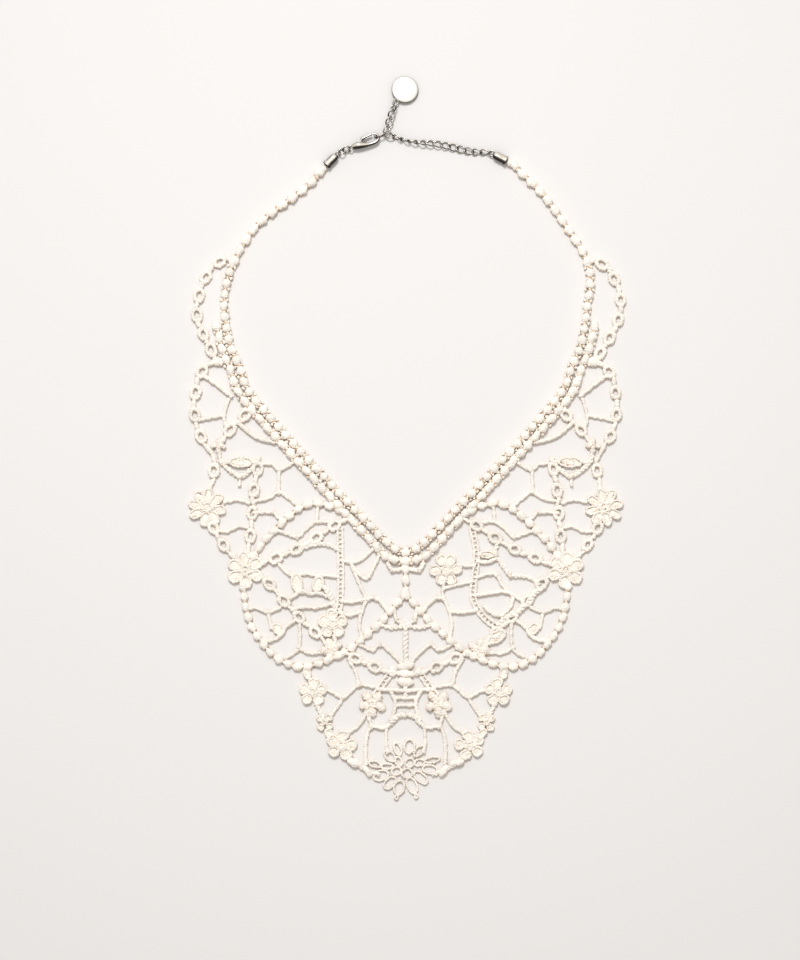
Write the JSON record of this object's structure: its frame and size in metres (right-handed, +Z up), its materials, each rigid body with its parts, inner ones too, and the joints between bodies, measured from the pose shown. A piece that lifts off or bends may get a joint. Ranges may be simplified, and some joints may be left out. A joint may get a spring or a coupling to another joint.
{
  "type": "lace necklace",
  "caption": "Openwork lace bib necklace lying flat, with bead-stitched neck rows, scallops and flowers, end caps, clasp, extension chain and round tag.",
  "frame": {"origin": "centre of the box round the whole necklace, at the surface that it lies on", "axes": "+Y from the point of the bib to the clasp in plan, +X to the right in plan, +Z up from the surface"},
  "size_m": [0.1652, 0.2722, 0.0036],
  "materials": {
    "lace": "ivory embroidery thread, matte with a slight sheen",
    "silver": "polished silver-tone metal with fine scratches"
  },
  "bodies": {
    "necklace": {"neck_arm_left": "lace", "neck_arm_right": "lace", "side_panel_left": "lace", "side_panel_right": "lace", "front_panel": "lace", "cap_left": "silver", "cap_right": "silver", "jump_ring_1": "silver", "jump_ring_2": "silver", "clasp_hook": "silver", "clasp_lever": "silver", "held_link": "silver", "chain_link_01": "silver", "chain_link_02": "silver", "chain_link_03": "silver", "chain_link_04": "silver", "chain_link_05": "silver", "chain_link_06": "silver", "chain_link_07": "silver", "chain_link_08": "silver", "chain_link_09": "silver", "chain_link_10": "silver", "chain_link_11": "silver", "chain_link_12": "silver", "chain_link_13": "silver", "tail_link_01": "silver", "tail_link_02": "silver", "tail_link_03": "silver", "tail_link_04": "silver"},
    "tag": {"tag": "silver"}
  },
  "joints": [
    {"name": "tag_swing", "type": "hinge", "parent": "necklace", "child": "tag", "pos_m": [-0.00443, 0.12641, 0.0015], "axis": [0.0537, 0.0687, 0.9962], "range_deg": [-30, 30]}
  ]
}
